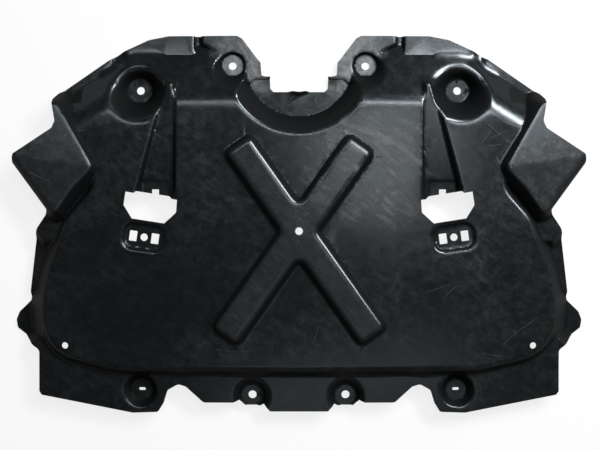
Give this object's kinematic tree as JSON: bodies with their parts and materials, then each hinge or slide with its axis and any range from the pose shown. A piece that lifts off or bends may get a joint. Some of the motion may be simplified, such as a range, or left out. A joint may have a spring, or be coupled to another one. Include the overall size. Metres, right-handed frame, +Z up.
{
  "type": "engine splash shield",
  "caption": "Moulded plastic engine undertray with a raised cross, air ramps with openings, recessed screw seats, side wings and a round cut in its rear edge.",
  "frame": {"origin": "on the floor under the middle of the shield's outline, the shield lying engine side down", "axes": "+X to the right in the picture, +Y toward the edge with the round cut, +Z up, out of the road side"},
  "size_m": [0.8416, 0.5554, 0.049],
  "materials": {
    "plastic": "satin black, scuffed"
  },
  "bodies": {
    "root": {"splash_shield": "plastic"}
  },
  "joints": []
}
